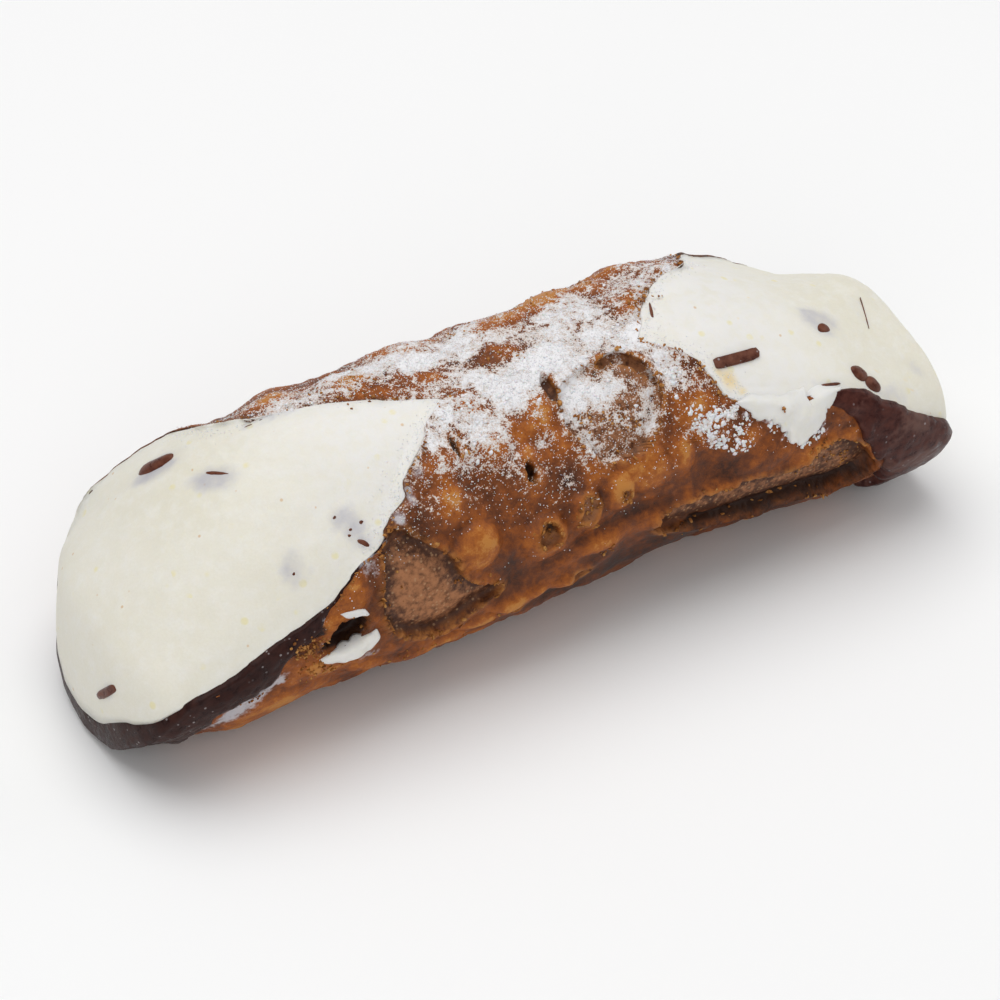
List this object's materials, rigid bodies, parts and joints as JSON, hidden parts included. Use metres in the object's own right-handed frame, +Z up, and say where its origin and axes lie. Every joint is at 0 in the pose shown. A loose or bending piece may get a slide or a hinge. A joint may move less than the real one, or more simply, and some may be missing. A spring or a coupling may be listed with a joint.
{
  "type": "cannoli",
  "caption": "Filled fried pastry tube with slanting mouths, its sweet ricotta cream smoothed flush with the rims and its ends dipped in dark chocolate.",
  "frame": {"origin": "centre of the bounding box in plan, on the resting plane under the pastry tube", "axes": "+X along the tube towards the shorter, right-hand mouth, -Y the front with the long torn blister, +Z up through the lapped seam side"},
  "size_m": [0.1462, 0.0482, 0.0455],
  "materials": {
    "fried_pastry": null,
    "ricotta_cream": null,
    "dark_chocolate": null
  },
  "bodies": {
    "root": {"shell": "fried_pastry", "cream": "ricotta_cream", "chocolate_dip_left": "dark_chocolate", "chocolate_dip_right": "dark_chocolate"}
  },
  "joints": []
}
